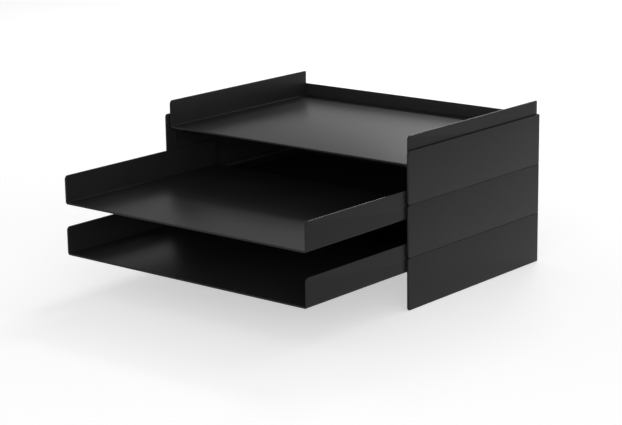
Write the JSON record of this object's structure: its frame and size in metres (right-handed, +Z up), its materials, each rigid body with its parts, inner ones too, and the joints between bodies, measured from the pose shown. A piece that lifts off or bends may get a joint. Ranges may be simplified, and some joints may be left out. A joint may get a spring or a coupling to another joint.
{
  "type": "letter tray stack with drawers",
  "caption": "Black sheet-steel letter tray stack: folded frames set one on the other, each with an open-fronted tray that slides out to a stop.",
  "frame": {"origin": "on the desk, below the middle of the whole stack as it stands with its lower and middle trays out", "axes": "+X to the right, +Y from the open front to the rear wall, +Z up"},
  "size_m": [0.32, 0.3812, 0.1724],
  "materials": {
    "shell_coat": "satin black powder coat",
    "tray_coat": "satin black powder coat",
    "rail_coat": "satin black powder coat",
    "shelf_coat": "satin black powder coat",
    "plate_coat": "satin black powder coat",
    "glide_plastic": "dark grey low-friction strip",
    "screw_steel": "black-oxide steel"
  },
  "bodies": {
    "frame": {"lower_tier_shell": "shell_coat", "lower_left_rail": "rail_coat", "lower_left_glide": "glide_plastic", "lower_right_rail": "rail_coat", "lower_right_glide": "glide_plastic", "lower_stop_shelf": "shelf_coat", "middle_tier_shell": "shell_coat", "middle_left_rail": "rail_coat", "middle_left_glide": "glide_plastic", "middle_right_rail": "rail_coat", "middle_right_glide": "glide_plastic", "middle_stop_shelf": "shelf_coat", "top_tier_shell": "shell_coat", "top_left_rail": "rail_coat", "top_left_glide": "glide_plastic", "top_right_rail": "rail_coat", "top_right_glide": "glide_plastic", "top_stop_shelf": "shelf_coat", "lower_left_joint_plate": "plate_coat", "lower_right_joint_plate": "plate_coat", "upper_left_joint_plate": "plate_coat", "upper_right_joint_plate": "plate_coat", "joint_screws": "screw_steel", "shelf_screws": "screw_steel"},
    "lower_tray_body": {"lower_tray": "tray_coat"},
    "middle_tray_body": {"middle_tray": "tray_coat"},
    "top_tray_body": {"top_tray": "tray_coat"}
  },
  "joints": [
    {"name": "lower_tray_slide", "type": "slide", "parent": "frame", "child": "lower_tray_body", "axis": [0, -1, 0], "range_m": [-0.1541, 0]},
    {"name": "middle_tray_slide", "type": "slide", "parent": "frame", "child": "middle_tray_body", "axis": [0, -1, 0], "range_m": [-0.1541, 0]},
    {"name": "top_tray_slide", "type": "slide", "parent": "frame", "child": "top_tray_body", "axis": [0, -1, 0], "range_m": [0, 0.1541]}
  ]
}
